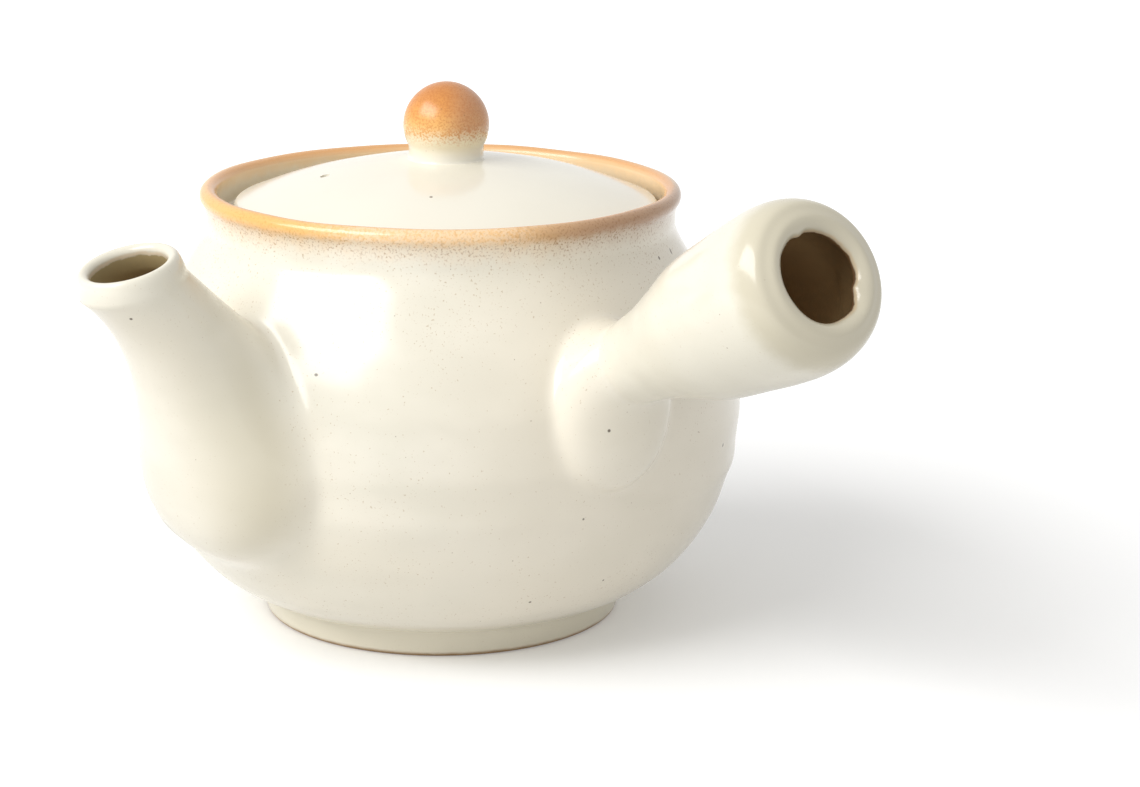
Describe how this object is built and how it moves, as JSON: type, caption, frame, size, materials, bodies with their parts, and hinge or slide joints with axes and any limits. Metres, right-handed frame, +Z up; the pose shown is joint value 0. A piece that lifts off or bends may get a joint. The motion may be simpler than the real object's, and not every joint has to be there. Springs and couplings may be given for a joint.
{
  "type": "side-handled teapot",
  "caption": "Round glazed stoneware teapot with a hollow side handle a quarter turn from an upturned spout, a foot ring, and a loose domed lid with a ball knob.",
  "frame": {"origin": "under the middle of the whole pot's bounding box, on the surface that the pot stands on", "axes": "+X along the handle, away from the pot; the spout points mostly along -Y; +Z up, along the axis that the pot was thrown on"},
  "size_m": [0.1664, 0.1348, 0.0988],
  "materials": {
    "cream_glaze": "glossy off-white glaze with fine brown iron specks, breaking to orange at the rim",
    "amber_glaze": "glossy amber glaze with fine dark specks, fading to cream at the neck",
    "strainer_clay": "thinly glazed clay, semi-matt"
  },
  "bodies": {
    "pot": {"pot_body": "cream_glaze", "spout": "cream_glaze", "handle": "cream_glaze", "tea_strainer": "strainer_clay"},
    "lid": {"lid": "cream_glaze", "lid_knob": "amber_glaze"}
  },
  "joints": [
    {"name": "lid_lift", "type": "slide", "parent": "pot", "child": "lid", "axis": [0, 0, 1], "range_m": [0, 0.05]}
  ]
}
